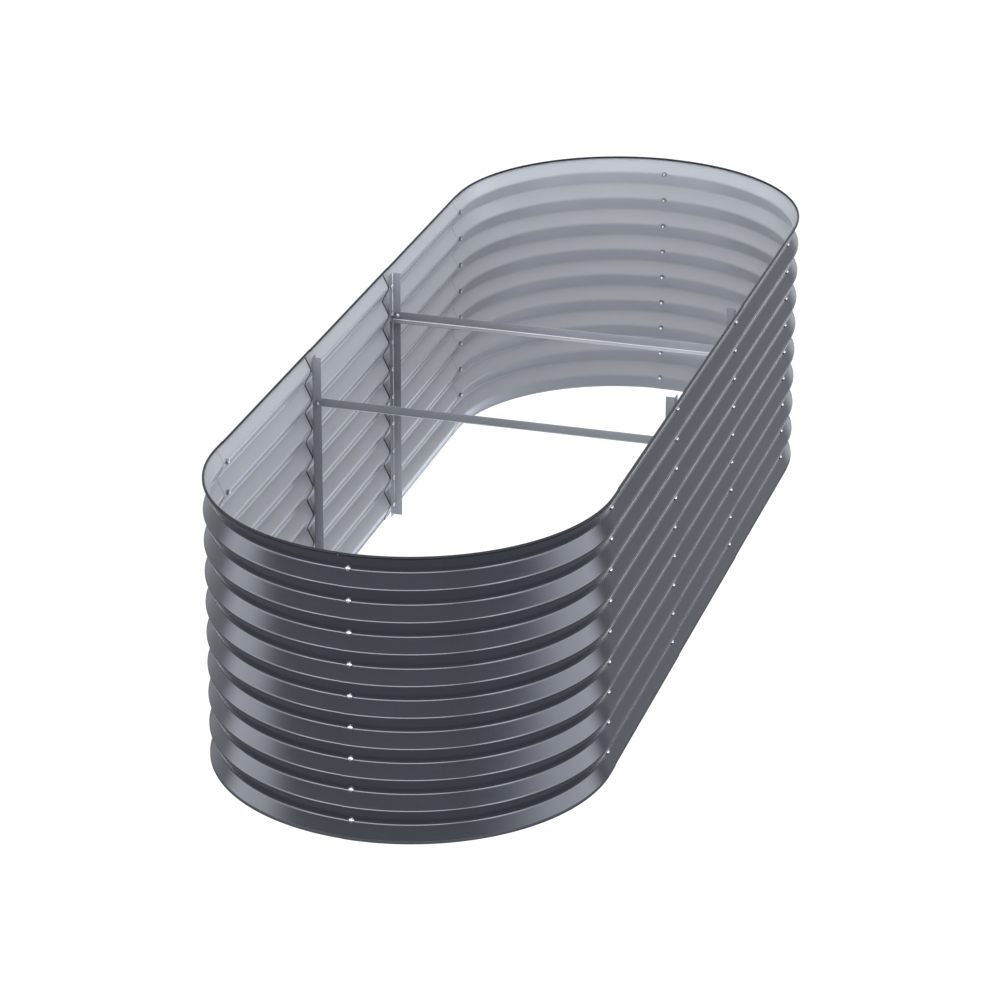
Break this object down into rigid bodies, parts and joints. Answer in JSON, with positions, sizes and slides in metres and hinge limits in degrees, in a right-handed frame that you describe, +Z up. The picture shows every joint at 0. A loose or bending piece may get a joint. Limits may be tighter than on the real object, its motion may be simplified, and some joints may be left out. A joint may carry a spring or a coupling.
{
  "type": "raised garden bed",
  "caption": "Open oval raised garden bed of wave-rolled steel panels, bolted at lapped seams, with angle posts and cross bars inside.",
  "frame": {"origin": "centre of the bed's footprint, on the ground", "axes": "+X along the length, +Y across the width, +Z up; -Y is the front and -X the left end, and half a turn about Z gives the same bed"},
  "size_m": [2.4436, 0.8176, 0.6],
  "materials": {
    "panel_paint": "satin",
    "angle_paint": "satin",
    "bright_steel": "polished"
  },
  "bodies": {
    "root": {"front_panel_left": "panel_paint", "front_panel_middle": "panel_paint", "front_panel_right": "panel_paint", "back_panel_left": "panel_paint", "back_panel_middle": "panel_paint", "back_panel_right": "panel_paint", "left_end_panel_front": "panel_paint", "left_end_panel_back": "panel_paint", "right_end_panel_front": "panel_paint", "right_end_panel_back": "panel_paint", "post_front_left": "angle_paint", "post_front_right": "angle_paint", "post_back_left": "angle_paint", "post_back_right": "angle_paint", "cross_bar_left": "angle_paint", "cross_bar_right": "angle_paint", "cross_bar_bolts": "bright_steel", "cross_bar_nuts": "bright_steel", "cross_bar_washers": "bright_steel", "bolts_left_end": "bright_steel", "bolts_right_end": "bright_steel", "bolts_front_outer_left": "bright_steel", "bolts_front_inner_left": "bright_steel", "bolts_front_inner_right": "bright_steel", "bolts_front_outer_right": "bright_steel", "bolts_back_outer_left": "bright_steel", "bolts_back_inner_left": "bright_steel", "bolts_back_inner_right": "bright_steel", "bolts_back_outer_right": "bright_steel", "nuts_left_end": "bright_steel", "nuts_right_end": "bright_steel", "nuts_front_outer_left": "bright_steel", "nuts_front_inner_left": "bright_steel", "nuts_front_inner_right": "bright_steel", "nuts_front_outer_right": "bright_steel", "nuts_back_outer_left": "bright_steel", "nuts_back_inner_left": "bright_steel", "nuts_back_inner_right": "bright_steel", "nuts_back_outer_right": "bright_steel", "washers_left_end": "bright_steel", "washers_right_end": "bright_steel", "washers_front_outer_left": "bright_steel", "washers_front_inner_left": "bright_steel", "washers_front_inner_right": "bright_steel", "washers_front_outer_right": "bright_steel", "washers_back_outer_left": "bright_steel", "washers_back_inner_left": "bright_steel", "washers_back_inner_right": "bright_steel", "washers_back_outer_right": "bright_steel"}
  },
  "joints": []
}
